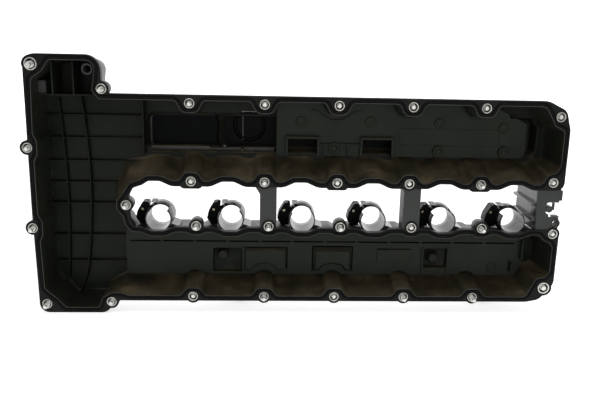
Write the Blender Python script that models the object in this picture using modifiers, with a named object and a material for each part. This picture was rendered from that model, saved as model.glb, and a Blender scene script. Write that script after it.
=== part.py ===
"""Cylinder head cover of an in-line six, standing on its long lower edge.

World frame: +X along the cover, +Y away from the open (sealing) side, +Z up.
Plan coordinates (x, y) are millimetres in the sealing plane, measured from the
first cylinder's upper bolt line (x) and the lower inner bolt row (y).
Depth d is millimetres behind the sealing plane.
"""
import math

import bmesh
import bpy
from mathutils import Matrix

MM = 0.001
X_MID = 134.619          # plan x of the middle of the whole part
Y_FLOOR = -116.2         # plan y of the lowest edge
D_MID = 47.0             # depth of the middle of the whole part
PITCH = 91.0             # cylinder spacing
RAIL_W = 7.2             # sealing rail width
RAIL_D = 8.0             # sealing rail depth
FLOOR_D = 52.0           # inside floor of chain case and lower bay
ROOF_T = 3.0
WALL_T = 3.2
DEEP_D = 73.0            # inside floor of the upper bay
SEG = 1                  # segments per small corner
SHARP = math.radians(35.0)
BOSS_R = 9.6
BOSS_D = 20.0
BORE_R = 4.5
WELLS = [-42.0 + PITCH * k for k in range(6)]
WELL_Y = 6.0
FILLER = (71.0, 119.0)
LID = (330.0, 111.0)
OUTLET = (-10.0, 108.0)
FEET = (-158.0, 60.0, 392.0)

# one row per bolt: x, y, how far the tip stands out, large sleeve or not
BOLTS = [(-185.3, 196.5, 10.0, True), (-104.2, 168.7, 10.0, False)]
BOLTS += [(PITCH * k, 153.3, p, False) for k, p in enumerate((4.0, 2.0, 0.5, 0.5, 0.5))]
BOLTS += [(458.2, 144.2, 1.0, False), (-195.7, 96.4, 5.0, False), (-195.6, -4.5, 10.0, False)]
BOLTS += [(-184.0, -104.8, 10.0, False), (-102.6, -101.6, 5.0, False)]
BOLTS += [(1.2 + PITCH * k, -93.8, p, False) for k, p in enumerate((0.5, 9.0, 0.5, 9.0, 10.0))]
BOLTS += [(459.3, -80.5, 1.0, True)]
BOLTS += [(0.5 + PITCH * k, 57.2, p, False) for k, p in enumerate((2.0, 5.0, 1.0, 0.5, 10.0))]
BOLTS += [(457.5, 60.8, 1.0, False), (-80.1, 26.1, 10.0, False)]
BOLTS += [(6.2 + PITCH * k, 0.0, p, False) for k, p in enumerate((9.0, 9.0, 9.0, 1.0, 10.0))]
BOLTS += [(463.7, -6.8, 1.0, False)]


def world(x, y, d):
    return ((x - X_MID) * MM, (d - D_MID) * MM, (y - Y_FLOOR) * MM)


# ---------------------------------------------------------------- outlines
def rounded(points, seg=SEG):
    """Closed outline with each corner (x, y, r) turned into a short arc."""
    out = []
    n = len(points)
    for i, (x, y, r) in enumerate(points):
        ax, ay = points[i - 1][0] - x, points[i - 1][1] - y
        bx, by = points[(i + 1) % n][0] - x, points[(i + 1) % n][1] - y
        la, lb = math.hypot(ax, ay), math.hypot(bx, by)
        ax, ay, bx, by = ax / la, ay / la, bx / lb, by / lb
        half = math.acos(max(-1.0, min(1.0, ax * bx + ay * by))) / 2.0
        cut = min(r / math.tan(half), 0.46 * la, 0.46 * lb) if half < 1.56 else 0.0
        if cut < 0.05:
            out.append((x, y))
            continue
        rad = cut * math.tan(half)
        mx, my = ax + bx, ay + by
        lm = math.hypot(mx, my)
        cx, cy = x + mx / lm * rad / math.sin(half), y + my / lm * rad / math.sin(half)
        a0 = math.atan2(y + ay * cut - cy, x + ax * cut - cx)
        a1 = math.atan2(y + by * cut - cy, x + bx * cut - cx)
        da = (a1 - a0 + math.pi) % (2 * math.pi) - math.pi
        steps = seg if rad * abs(da) < 9.0 else seg + 1
        for k in range(steps + 1):
            a = a0 + da * k / steps
            out.append((cx + rad * math.cos(a), cy + rad * math.sin(a)))
    return out


def offset(outline, dist):
    """Mitred copy of a clockwise outline, moved outward by dist."""
    out = []
    n = len(outline)
    for i, (x, y) in enumerate(outline):
        px, py = outline[i - 1]
        qx, qy = outline[(i + 1) % n]
        l1, l2 = math.hypot(x - px, y - py), math.hypot(qx - x, qy - y)
        n1 = (-(y - py) / l1, (x - px) / l1)
        n2 = (-(qy - y) / l2, (qx - x) / l2)
        k = dist / max(0.35, 1.0 + n1[0] * n2[0] + n1[1] * n2[1])
        out.append((x + (n1[0] + n2[0]) * k, y + (n1[1] + n2[1]) * k))
    return out


def line_gap(px, py, a, b):
    """Distance from a point to the segment a-b."""
    ex, ey = b[0] - a[0], b[1] - a[1]
    t = max(0.0, min(1.0, ((px - a[0]) * ex + (py - a[1]) * ey) / (ex * ex + ey * ey)))
    return math.hypot(px - a[0] - ex * t, py - a[1] - ey * t)


def clean_offset(outline, dist):
    """Offset outline without the little loops that form in tight hollows."""
    keep = []
    n = len(outline)
    for x, y in offset(outline, dist):
        gap = min(line_gap(x, y, outline[i - 1], outline[i]) for i in range(n))
        if gap > dist - 0.15:
            keep.append((x, y))
    return keep


def dip(x, y_flat, y_bolt, half_out, half_in, direction):
    """Four corners of the rail stepping round one bolt boss."""
    pts = [(x - half_out, y_flat, 0), (x - half_in, y_bolt, 7)]
    pts += [(x + half_in, y_bolt, 7), (x + half_out, y_flat, 0)]
    return pts if direction > 0 else pts[::-1]


def lip_outline(seg=SEG):
    """Edge of the oil space at the sealing plane, clockwise from top left."""
    p = [(-186, 179, 5), (-172.5, 188.5, 9), (-164, 201.5, 5), (-111, 201.5, 12)]
    p += [(-113.5, 180, 6), (-116, 166, 7), (-108, 156.3, 6)]
    for k in range(5):
        p += dip(PITCH * k, 156.3, 141.6, 17.0, 9.5, 1)
    p += [(438, 156.3, 8), (446.5, 143, 6), (452, 132.5, 6), (464.5, 127, 6)]
    p += [(464.5, 82, 8), (459, 73.5, 4), (449.5, 71, 6), (443.5, 60, 6), (438, 58, 3)]
    for k in range(5, -1, -1):
        m = -45.0 + PITCH * k
        p += [(m + 23, 58, 0), (m + 9, 64.5, 0), (m - 9, 64.5, 0)]
        if k:
            p.append((m - 23, 58, 0))
            p += dip(0.5 + PITCH * (k - 1), 58, 69.0, 15.0, 8.5, -1)
    p += [(-62, 59, 6), (-76, 54, 9), (-84, 41, 5), (-91.8, 32, 5)]
    p += [(-91.8, 20, 5), (-84, 11, 5), (-82, 0, 8), (-74, -8.5, 6)]
    for k in range(6):
        m = WELLS[k]
        p += [(m - 22, -8.5, 0), (m - 9, -14, 0), (m + 9, -14, 0), (m + 22, -8.5, 0)]
        if k < 5:
            b = 6.2 + PITCH * k
            p += [(b - 12, -8.5, 0), (b - 6, -12, 0), (b + 6, -12, 0), (b + 12, -8.5, 0)]
    p += [(446, -8.5, 6), (452.5, -16, 5), (461, -19, 5), (464.5, -25, 4)]
    p += [(464.5, -59, 5), (459, -65, 4), (448, -67, 6), (442.5, -78, 7), (436, -92.5, 7)]
    for k in range(4, -1, -1):
        p += dip(1.2 + PITCH * k, -92.5, -81.8, 16.0, 9.0, -1)
    p += [(-80, -92.5, 6), (-90, -89, 5), (-102, -88.8, 7), (-115, -96.5, 6), (-118, -109, 5)]
    p += [(-160, -109, 5), (-170, -98, 6), (-178, -91, 6), (-185.5, -84, 5)]
    p += [(-187, -22, 5), (-183.2, -13, 4), (-183.2, 4, 4), (-188, 12, 5)]
    p += [(-188, 80, 5), (-183.6, 88, 4), (-183.6, 105, 4), (-187.8, 113, 5)]
    return rounded(p, seg)


def rail_outline(seg=SEG):
    """Outer edge of the sealing rail before the bolt bosses are added."""
    p = [(-187.5, 201.5, 7), (-111, 201.5, 12), (-111, 156.3, 10), (440, 156.3, 6)]
    p += [(459, 147, 6), (464.5, 127, 8), (464.5, 58, 3)]
    for k in range(5, -1, -1):
        m = -45.0 + PITCH * k
        p += [(m + 23, 58, 0), (m + 9, 64.5, 0), (m - 9, 64.5, 0)]
        if k:
            p.append((m - 23, 58, 0))
    p += [(-62, 59, 6), (-76, 54, 9), (-83, 41, 5), (-83, 8, 8), (-74, -8.5, 8)]
    for k in range(6):
        m = WELLS[k]
        p += [(m - 22, -8.5, 0), (m - 9, -14, 0), (m + 9, -14, 0), (m + 22, -8.5, 0)]
    p += [(464.5, -8.5, 3), (464.5, -72, 8), (450, -90, 8), (436, -92.5, 6)]
    p += [(-97, -92.5, 6), (-113, -109, 4), (-186, -109, 5), (-188, 12, 5)]
    return clean_offset(rounded(p, seg), RAIL_W)


def deep_point(x, y):
    """Where a lip point ends up on the inside floor as the walls taper inward."""
    pull = 5.0 * max(0.0, min(1.0, (x - 430.0) / 22.0))
    push = 3.0 * max(0.0, min(1.0, (-150.0 - x) / 20.0))
    if y > 125.0:
        return x - pull + push, y - 3.0
    if y < -60.0:
        lift = (9.0 if x > -95.0 else 4.0) * min(1.0, (-60.0 - y) / 25.0)
        return x - pull + push, y + lift
    if x < -150.0 or y < 5.0:
        return x - pull + push, y
    if x > 455.0:
        return x - pull, y + 6.0 * max(0.0, min(1.0, (90.0 - y) / 15.0))
    if y > 45.0:
        return x - pull, 76.0 + (y - 58.0) * 0.6
    return x, y + 18.0 * (y - 5.0) / 45.0


# ------------------------------------------------------------------ meshes
def collection(name, show=True):
    coll = bpy.data.collections.new(name)
    bpy.context.scene.collection.children.link(coll)
    coll.hide_render = not show
    return coll


def add_object(name, coll, mesh, location=(0.0, 0.0, 0.0), material=None):
    """Links a mesh as an object; hidden collections hold cutters and guides."""
    obj = bpy.data.objects.new(name, mesh)
    obj.location = location
    coll.objects.link(obj)
    if material is not None and not mesh.materials:
        mesh.materials.append(material)
    if coll.hide_render:
        obj.hide_render = True
        obj.display_type = "WIRE"
    return obj


def from_bmesh(bm, name, coll, material=None, snap=False, smooth=False):
    """Finishes a bmesh; snap keeps planes shared by two solids exactly equal."""
    if snap:
        for v in bm.verts:
            v.co = [round(c, 7) for c in v.co]
    bmesh.ops.recalc_face_normals(bm, faces=bm.faces)
    mesh = bpy.data.meshes.new(name)
    bm.to_mesh(mesh)
    bm.free()
    if smooth:
        mesh.shade_smooth()
        mesh.set_sharp_from_angle(angle=SHARP)
    return add_object(name, coll, mesh, material=material)


def box(name, coll, x0, x1, y0, y1, d0, d1, material=None):
    size = ((x1 - x0) * MM, (d1 - d0) * MM, (y1 - y0) * MM, 1.0)
    middle = world((x0 + x1) / 2.0, (y0 + y1) / 2.0, (d0 + d1) / 2.0)
    bm = bmesh.new()
    bmesh.ops.create_cube(bm, size=1.0, matrix=Matrix.Translation(middle) @ Matrix.Diagonal(size))
    return from_bmesh(bm, name, coll, material, snap=True)


def disc(name, coll, cx, cy, r, d0, d1, n=16, turn=0.0):
    """Round solid along the depth axis, first corner at the angle turn."""
    stand = Matrix.Rotation(math.pi / 2.0, 4, "X") @ Matrix.Rotation(turn - math.pi / 2.0, 4, "Z")
    bm = bmesh.new()
    bmesh.ops.create_cone(bm, cap_ends=True, segments=n, radius1=r * MM, radius2=r * MM,
                          depth=(d1 - d0) * MM,
                          matrix=Matrix.Translation(world(cx, cy, (d0 + d1) / 2.0)) @ stand)
    return from_bmesh(bm, name, coll, snap=True, smooth=True)


def plate(name, coll, outline, d0, d1, material=None):
    """Flat outline extruded from one depth to another."""
    bm = bmesh.new()
    face = bm.faces.new([bm.verts.new(world(x, y, d0)) for x, y in outline])
    grown = bmesh.ops.extrude_face_region(bm, geom=[face])["geom"]
    for v in grown:
        if isinstance(v, bmesh.types.BMVert):
            v.co.y = (d1 - D_MID) * MM
    return from_bmesh(bm, name, coll, material)


def bridge_rows(bm, rows):
    for a, b in zip(rows, rows[1:]):
        for i in range(len(a)):
            bm.faces.new((a[i - 1], a[i], b[i], b[i - 1]))


def loft(name, coll, near, d0, far, d1):
    """Tapered solid between two different outlines of equal length."""
    bm = bmesh.new()
    rows = [[bm.verts.new(world(x, y, d)) for x, y in line] for line, d in ((near, d0), (far, d1))]
    bridge_rows(bm, rows)
    bm.faces.new(rows[0])
    bm.faces.new(rows[1][::-1])
    return from_bmesh(bm, name, coll)


def band(name, coll, line, outer, inner, d0, d1, material=None):
    """Closed ring that follows an outline between two offsets."""
    corners = ((outer, d0), (outer, d1), (inner, d1), (inner, d0), (outer, d0))
    bm = bmesh.new()
    rows = [[bm.verts.new(world(x, y, d)) for x, y in offset(line, o)] for o, d in corners[:4]]
    bridge_rows(bm, rows + rows[:1])
    return from_bmesh(bm, name, coll, material)


def turned(name, coll, cx, cy, profile, n, material=None):
    """Profile of (radius, depth) spun about the depth axis by a Screw modifier."""
    last = len(profile) - 1
    edges = [(i, i + 1) for i in range(last)]
    if profile[0][0] > 0.0:
        edges.append((last, 0))
    mesh = bpy.data.meshes.new(name)
    mesh.from_pydata([(r * MM, d * MM, 0.0) for r, d in profile], edges, [])
    obj = add_object(name, coll, mesh, world(cx, cy, 0.0), material)
    mod = obj.modifiers.new("turn", "SCREW")
    mod.axis = "Y"
    mod.steps = n
    mod.render_steps = n
    mod.use_merge_vertices = True
    mod.merge_threshold = 0.00001
    mod.use_smooth_shade = True
    return obj


def circle(cx, cy, r, n):
    return [(cx + r * math.cos(2.0 * math.pi * k / n), cy - r * math.sin(2.0 * math.pi * k / n))
            for k in range(n)]


def boolean(obj, operation, coll):
    mod = obj.modifiers.new(operation.lower(), "BOOLEAN")
    mod.operation = operation
    mod.operand_type = "COLLECTION"
    mod.collection = coll
    mod.solver = "EXACT"


def material(name, rgb, metallic, rough):
    mat = bpy.data.materials.new(name)
    mat.use_nodes = True
    bsdf = mat.node_tree.nodes["Principled BSDF"]
    bsdf.inputs["Base Color"].default_value = (*rgb, 1.0)
    bsdf.inputs["Metallic"].default_value = metallic
    bsdf.inputs["Roughness"].default_value = rough
    return mat


# ------------------------------------------------------------- cover shell
def add_wells(coll):
    """Coil wells: open tube, seat flange, screw ear and a small tab."""
    for m in WELLS:
        turned("well_tube", coll, m, WELL_Y,
               [(15.3, 9.8), (15.3, 44.3), (18.0, 44.3), (18.0, 9.8)], 12)
        disc("well_seat", coll, m, WELL_Y, 21.0, 42.0, 46.2, 14, 0.11)
        ear = [(m - 33, 2), (m - 29, 13), (m - 20, 25), (m - 13.5, 25), (m - 15, 8), (m - 16.5, -7),
               (m - 27, -7)]
        plate("well_ear", coll, ear, 30.0, 45.5)
        box("well_tab", coll, m - 12.6, m - 6.0, 20.0, 29.0, 43.1, 44.9)


def add_end_plate(coll):
    """Connector plate and wall that close the gap at the far end."""
    box("end_plate", coll, 439.0, 468.0, 35.0, 53.0, 2.0, 12.0)
    box("end_plate", coll, 440.0, 452.0, -4.0, 37.0, 2.0, 11.0)
    box("end_plate", coll, 450.0, 469.0, -4.0, 15.0, 2.0, 10.0)
    box("end_wall", coll, 439.0, 443.0, -4.0, 84.0, 3.0, 76.0)
    box("end_wall_rib", coll, 433.5, 440.0, 29.0, 33.0, 4.0, 74.0)
    box("end_wall_rib", coll, 433.5, 440.0, 9.5, 13.5, 4.0, 74.0)
    box("end_hook", coll, 466.5, 474.5, 36.0, 49.0, 8.0, 14.0)
    disc("end_pin", coll, 466.0, 7.5, 5.8, 1.0, 18.0, 12)


def add_outer_ribs(coll):
    for k in range(6):
        x = -16.0 + 78.0 * k + (8.0 if k > 2 else 0.0)
        box("roof_rib", coll, x - 1.25, x + 1.25, 84.0, 137.0, 74.0, 78.0)
        x = -45.0 + PITCH * k
        box("low_rib", coll, x - 1.25, x + 1.25, -68.0, -18.0, 53.0, 57.5)
    for y in (130.0, 46.0, -38.0):
        box("case_rib", coll, -176.0, -100.0, y - 1.25, y + 1.25, 53.0, 57.5)
    for x in FEET:
        foot = [(x - 8, -66), (x + 8, -66), (x + 5, Y_FLOOR), (x - 5, Y_FLOOR)]
        plate("foot", coll, foot, 44.0, 66.0)


def add_case_ribs(coll):
    """Stiffening ribs and pockets inside the chain case."""
    base = FLOOR_D + 1.0
    for x, y0, y1 in ((-166.0, -78.0, 150.0), (-138.0, -58.0, 160.0)):
        bar = [(x - 2.5, y1), (x, y1), (x + 1.5, y0), (x - 1.0, y0)]
        plate("upright", coll, bar, 43.0, base)
    for y, x1 in ((132, -64), (103, -64), (73, -64), (45, -90), (17, -95), (-26, -88),
                  (-62, -88)):
        box("cross", coll, -185.0, x1, y - 1.2, y + 1.2, 44.0, base)
    box("pocket_rib", coll, -154.0, -151.6, 156.0, 200.0, 14.0, base)
    box("pocket_rib", coll, -131.0, -128.6, 156.0, 200.0, 14.0, base)
    box("pocket_wall", coll, -186.0, -111.0, 161.5, 164.0, 20.0, base)
    box("pocket_block", coll, -181.0, -170.0, 158.0, 175.0, 24.0, base)
    disc("pin_boss", coll, -120.5, 191.5, 6.8, 5.0, base, 16)
    box("divider", coll, -63.2, -60.8, 80.0, 151.0, 40.0, base)


def add_bores(coll, lip):
    """Bolt bores, tool access, well bores and the gasket groove."""
    for x, y, _, large in BOLTS:
        disc("bore", coll, x, y, 5.5 if large else BORE_R, -1.0, BOSS_D + 6.5, 10)
    for x, y in ((91.5, 57.2), (273.5, 57.2), (97.2, 0.0), (279.2, 0.0), (457.5, 60.8),
                 (463.7, -6.8)):
        disc("tool_access", coll, x, y, 7.9, BOSS_D, 110.0, 12)
    for m in WELLS:
        disc("ear_hole", coll, m - 23.0, 14.0, 3.4, 28.0, 48.0, 8)
        disc("well_bore", coll, m, WELL_Y, 12.6, 9.0, 60.0, 12)
    disc("end_hole", coll, 466.0, 7.5, 4.0, -1.0, 19.0, 12)
    disc("pin_hole", coll, -120.5, 191.5, 4.6, 2.0, 60.0, 12)
    band("gasket_groove", coll, lip, 5.3, 1.3, -1.0, 3.0)


def build_shell(coll, mats):
    add = collection("shell_solids", False)
    cut = collection("shell_hollows", False)
    inner = collection("shell_inner_ribs", False)
    drill = collection("shell_bores", False)
    lip = lip_outline()
    deep = [deep_point(x, y) for x, y in lip]
    pocket = rounded([(-61, 135, 8), (449, 135, 12), (453, 88, 12), (-61, 86, 6)], 2)
    shell = plate("cover_shell", coll, rail_outline(), 0.0, RAIL_D, mats["shell"])

    loft("walls", add, offset(lip, WALL_T), 4.0, offset(deep, WALL_T), FLOOR_D + ROOF_T)
    plate("upper_roof", add, offset(pocket, WALL_T), 48.0, DEEP_D + ROOF_T)
    for x, y, _, large in BOLTS:
        disc("boss", add, x, y, 11.3 if large else BOSS_R, 0.4, BOSS_D, 12, 0.09)
    for x0, x1 in ((86.0, 107.0), (267.5, 289.0)):
        plate("bridge", add, [(x0, 53), (x1, 53), (x1, -4), (x0, -4)], 1.5, 26.0)
        plate("bridge_web", add, [(x0 - 6, 53), (x0 + 3, 53), (x0 + 3, 40), (x0, 40)], 1.5, 8.0)
    for k in (0, 2, 4):
        x = 0.5 + PITCH * k
        lug = [(x - 13, 54), (x + 13, 54), (x + 13, 48), (x + 9, 47), (x - 9, 47), (x - 13, 48)]
        plate("lug", add, lug, 3.0, 9.0)
    add_end_plate(add)
    add_wells(add)
    disc("filler_neck", add, FILLER[0], FILLER[1], 26.0, 49.0, 88.0, 20)
    disc("lid_socket", add, LID[0], LID[1], 20.0, 72.0, 82.0, 16)
    disc("outlet_socket", add, OUTLET[0], OUTLET[1], 14.0, 72.0, 84.0, 12)
    add_outer_ribs(add)

    loft("oil_space", cut, lip, -1.0, deep, FLOOR_D)
    plate("upper_space", cut, pocket, 49.0, DEEP_D)
    disc("filler_hole", cut, FILLER[0], FILLER[1], 22.0, 48.0, 90.0, 20)
    disc("outlet_hole", cut, OUTLET[0], OUTLET[1], 8.2, 70.0, 86.0, 12)
    disc("lid_well", cut, LID[0], LID[1], 16.0, 78.0, 84.0, 16)
    add_case_ribs(inner)
    add_bores(drill, lip)

    boolean(shell, "UNION", add)
    boolean(shell, "DIFFERENCE", cut)
    boolean(shell, "UNION", inner)
    boolean(shell, "DIFFERENCE", drill)


# ------------------------------------------------------------ other pieces
def bolt_mesh(name, large, mat):
    """Captive flange bolt about its own axis: point, shank, flange and hex head."""
    shank, flange, hexa = (4.0, 9.0, 6.9) if large else (3.3, 7.3, 5.8)
    under = BOSS_D + 10.3
    n = 12
    corners = circle(0.0, 0.0, hexa, 6)
    hexagon = []
    for p, q in zip(corners, corners[1:] + corners[:1]):
        hexagon += [p, ((p[0] + q[0]) / 2.0, (p[1] + q[1]) / 2.0)]
    sections = [(circle(0.0, 0.0, r, n), d) for r, d in ((shank - 1.2, 0.0), (shank, 1.4),
                                                         (shank, under), (flange, under))]
    sections += [(hexagon, under + 1.6), (hexagon, under + 7.0)]
    bm = bmesh.new()
    rows = [[bm.verts.new((x * MM, d * MM, y * MM)) for x, y in line] for line, d in sections]
    bridge_rows(bm, rows)
    bm.faces.new(rows[0])
    bm.faces.new(rows[-1][::-1])
    bmesh.ops.recalc_face_normals(bm, faces=bm.faces)
    mesh = bpy.data.meshes.new(name)
    bm.to_mesh(mesh)
    bm.free()
    mesh.shade_smooth()
    mesh.set_sharp_from_angle(angle=SHARP)
    mesh.materials.append(mat)
    return mesh


def build_bolts(coll, mats):
    meshes = {large: bolt_mesh("captive_bolt", large, mats["zinc"]) for large in (False, True)}
    for i, (x, y, out, large) in enumerate(BOLTS):
        add_object("bolt_%02d" % (i + 1), coll, meshes[large], world(x, y, -out))


def build_upper_baffle(coll, mats):
    lip = lip_outline()
    t = (40.0 + 1.0) / (FLOOR_D + 1.0)
    deep = [deep_point(x, y) for x, y in lip]
    wall = offset([(a + (c - a) * t, b + (e - b) * t) for (a, b), (c, e) in zip(lip, deep)], -1.0)
    edge = [p for p in wall if 110.0 < p[0] < 428.0 and p[1] > 125.0]
    edge = [(106.0, 146.5), (109.8, 152.0)] + edge + [(432.0, 130.0), (432.0, 90.0), (424.0, 84.5)]
    edge += [(254.5, 84.5), (254.5, 107.0), (217.0, 107.0), (217.0, 84.5)]
    edge += [(158.5, 84.5), (158.5, 107.0), (121.0, 107.0), (121.0, 84.5), (106.0, 84.5)]
    baffle = plate("separator_baffle_upper", coll, edge, 40.0, 42.5, mats["baffle"])
    extra = collection("upper_baffle_bosses", False)
    for x, y in ((137.5, 128), (227, 129), (316.5, 128.5), (401, 124)):
        disc("stud", extra, x, y, 7.0, 37.5, 41.0, 12)
    for x, y in ((180.5, 95.0), (316.5, 92.5), (403, 92.5)):
        disc("stud", extra, x, y, 7.6, 36.0, 41.0, 12)
    for x0 in (118.0, 214.0):
        box("frame", extra, x0, x0 + 3.0, 84.5, 110.0, 35.0, 41.0)
        box("frame", extra, x0 + 40.5, x0 + 43.5, 84.5, 110.0, 35.0, 41.0)
        box("frame", extra, x0, x0 + 43.5, 107.0, 110.0, 35.0, 41.0)
    box("arch", extra, 150.0, 214.0, 135.6, 137.6, 36.5, 41.0)
    boolean(baffle, "UNION", extra)


def build_lower_baffle(coll, mats):
    edge = [(-89.0, -17.0), (436.0, -17.0), (440.0, -30.0), (440.0, -62.0), (432.0, -76.5)]
    edge += [(383.2, -76.5)]
    for k in range(4, -1, -1):
        x = 1.2 + PITCH * k
        edge += [(x + 14.0, -76.5), (x + 8.0, -71.5), (x - 8.0, -71.5), (x - 14.0, -76.5)]
    edge += [(-89.0, -76.5)]
    baffle = plate("separator_baffle_lower", coll, edge, 38.0, 40.5, mats["baffle"])
    extra = collection("lower_baffle_bosses", False)
    hole = collection("lower_baffle_slots", False)
    box("pad", extra, 243.0, 289.0, -58.0, -39.0, 36.5, 39.0)
    box("frame", extra, 66.0, 122.0, -69.0, -37.5, 35.5, 39.0)
    for x, y in ((37.0, -50.0), (319.0, -53.0), (400.0, -64.5)):
        disc("stud", extra, x, y, 6.5, 34.5, 39.0, 12)
    for x0, x1 in ((23.0, 62.0), (157.0, 209.0), (306.0, 339.0)):
        box("strip", extra, x0, x1, -39.5, -37.5, 36.0, 39.0)
    box("end_fin", extra, 436.5, 438.5, -52.0, -26.0, 30.0, 39.0)
    for k in range(12):
        x = -84.0 + 43.0 * k
        box("slot", hole, x, x + 36.0, -31.6, -30.0, 30.0, 45.0)
    boolean(baffle, "UNION", extra)
    boolean(baffle, "DIFFERENCE", hole)


def build_filler(coll, mats):
    x, y = FILLER
    cap = turned("oil_filler_cap", coll, x, y,
                 [(0, 98.5), (27.5, 98.5), (29.5, 97.0), (29.5, 90.6), (0, 90.6)], 28, mats["cap"])
    grip = collection("cap_grip", False)
    box("grip", grip, x - 24.0, x + 24.0, y - 3.2, y + 3.2, 96.0, 104.0)
    boolean(cap, "UNION", grip)
    turned("filler_cap_plug", coll, x, y,
           [(0, 90.3), (21.0, 90.3), (21.0, 75.5), (19.5, 74.0), (0, 74.0)], 28, mats["cap"])
    turned("filler_cap_seal", coll, x, y,
           [(22.6, 90.3), (25.8, 90.3), (25.8, 88.3), (22.6, 88.3)], 28, mats["rubber"])


def build_small_parts(coll, mats):
    turned("vent_valve_lid", coll, LID[0], LID[1],
           [(0, 86.4), (18.0, 86.4), (20.0, 84.6), (20.0, 82.3), (15.4, 82.3), (15.4, 79.0),
            (0, 79.0)], 24, mats["lid"])
    turned("breather_outlet", coll, OUTLET[0], OUTLET[1],
           [(5.6, 102.5), (8.0, 102.5), (9.0, 100.0), (8.0, 99.0), (8.0, 87.0), (12.0, 87.0),
            (12.0, 84.4), (7.8, 84.4), (7.8, 74.5), (5.6, 74.5)], 20, mats["lid"])
    duct = box("cable_duct", coll, -20.0, 405.0, -58.0, -40.0, 58.0, 68.0, mats["lid"])
    hollow = collection("duct_hollow", False)
    box("duct_hollow", hollow, -18.0, 403.0, -56.0, -42.0, 60.0, 70.0)
    boolean(duct, "DIFFERENCE", hollow)
    box("cable_duct_lid", coll, -20.0, 405.0, -58.0, -40.0, 68.3, 70.3, mats["lid"])
    clip = turned("harness_clip", coll, 457.0, 25.5,
                  [(0, 15.5), (3.0, 15.5), (4.6, 14.0), (4.6, 5.0), (4.2, 3.0), (0, 3.0)], 12,
                  mats["clip"])
    arm = collection("clip_arm", False)
    box("clip_arm", arm, 453.0, 464.0, 24.0, 27.0, 6.0, 9.0)
    box("clip_hook", arm, 462.0, 464.5, 24.0, 33.5, 6.0, 9.0)
    boolean(clip, "UNION", arm)
    for k, m in enumerate(WELLS):
        turned("coil_screw_insert_%d" % (k + 1), coll, m - 23.0, 14.0,
               [(1.7, 45.8), (3.0, 45.8), (3.0, 32.0), (1.7, 32.0)], 10, mats["brass"])


def main():
    for obj in list(bpy.data.objects):
        bpy.data.objects.remove(obj, do_unlink=True)
    coll = collection("head_cover")
    mats = {
        "shell": material("glass_filled_nylon", (0.022, 0.024, 0.022), 0.0, 0.42),
        "baffle": material("baffle_nylon", (0.035, 0.040, 0.036), 0.0, 0.5),
        "rubber": material("gasket_rubber", (0.012, 0.012, 0.013), 0.0, 0.7),
        "zinc": material("zinc_plated_steel", (0.62, 0.61, 0.57), 1.0, 0.35),
        "cap": material("cap_nylon", (0.02, 0.02, 0.022), 0.0, 0.38),
        "lid": material("trim_nylon", (0.026, 0.027, 0.027), 0.0, 0.45),
        "clip": material("clip_nylon", (0.03, 0.035, 0.034), 0.0, 0.4),
        "brass": material("insert_brass", (0.55, 0.42, 0.2), 1.0, 0.35),
    }
    build_shell(coll, mats)
    band("sealing_gasket", coll, lip_outline(), 5.0, 1.6, -0.9, 2.7, mats["rubber"])
    build_bolts(coll, mats)
    build_upper_baffle(coll, mats)
    build_lower_baffle(coll, mats)
    build_filler(coll, mats)
    build_small_parts(coll, mats)
    frame = bpy.data.objects.new("cover_frame", None)
    bpy.context.scene.collection.objects.link(frame)
    for obj in coll.objects:
        obj.parent = frame


main()
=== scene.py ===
"""Looks for the cylinder head cover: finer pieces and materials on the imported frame."""
import math

import bmesh
import bpy
from mathutils import Matrix, Vector, geometry

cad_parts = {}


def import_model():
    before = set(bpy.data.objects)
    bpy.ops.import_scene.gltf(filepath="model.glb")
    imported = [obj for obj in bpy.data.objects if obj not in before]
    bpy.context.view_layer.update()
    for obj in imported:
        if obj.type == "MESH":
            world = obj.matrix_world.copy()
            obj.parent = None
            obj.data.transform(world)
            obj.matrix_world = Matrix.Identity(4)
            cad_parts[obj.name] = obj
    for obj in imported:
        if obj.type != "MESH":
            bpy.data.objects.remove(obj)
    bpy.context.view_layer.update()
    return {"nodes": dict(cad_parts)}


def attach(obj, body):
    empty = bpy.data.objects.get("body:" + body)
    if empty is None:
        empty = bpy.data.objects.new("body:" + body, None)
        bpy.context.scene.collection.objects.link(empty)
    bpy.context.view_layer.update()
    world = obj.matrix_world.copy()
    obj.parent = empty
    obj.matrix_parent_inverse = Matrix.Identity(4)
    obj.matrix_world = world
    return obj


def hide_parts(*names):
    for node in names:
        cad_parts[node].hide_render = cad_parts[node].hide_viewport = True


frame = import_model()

MM = 0.001
X_MID, Y_FLOOR, D_MID = 134.619, -116.2, 47.0
PITCH = 91.0
RAIL_W, RAIL_D = 7.2, 8.0
FLOOR_D, WALL_T, DEEP_D = 52.0, 3.2, 73.0
BOSS_D = 20.0
DISC_R, LARGE_DISC_R = 8.9, 10.6
WELLS = [-42.0 + PITCH * k for k in range(6)]
WELL_Y = 6.0
FILLER, LID, OUTLET = (71.0, 119.0), (330.0, 111.0), (-10.0, 108.0)
DROOP, DROOP_PIVOT_D = 0.035, 15.0  # a bolt that stands out hangs low in its sleeve

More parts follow.
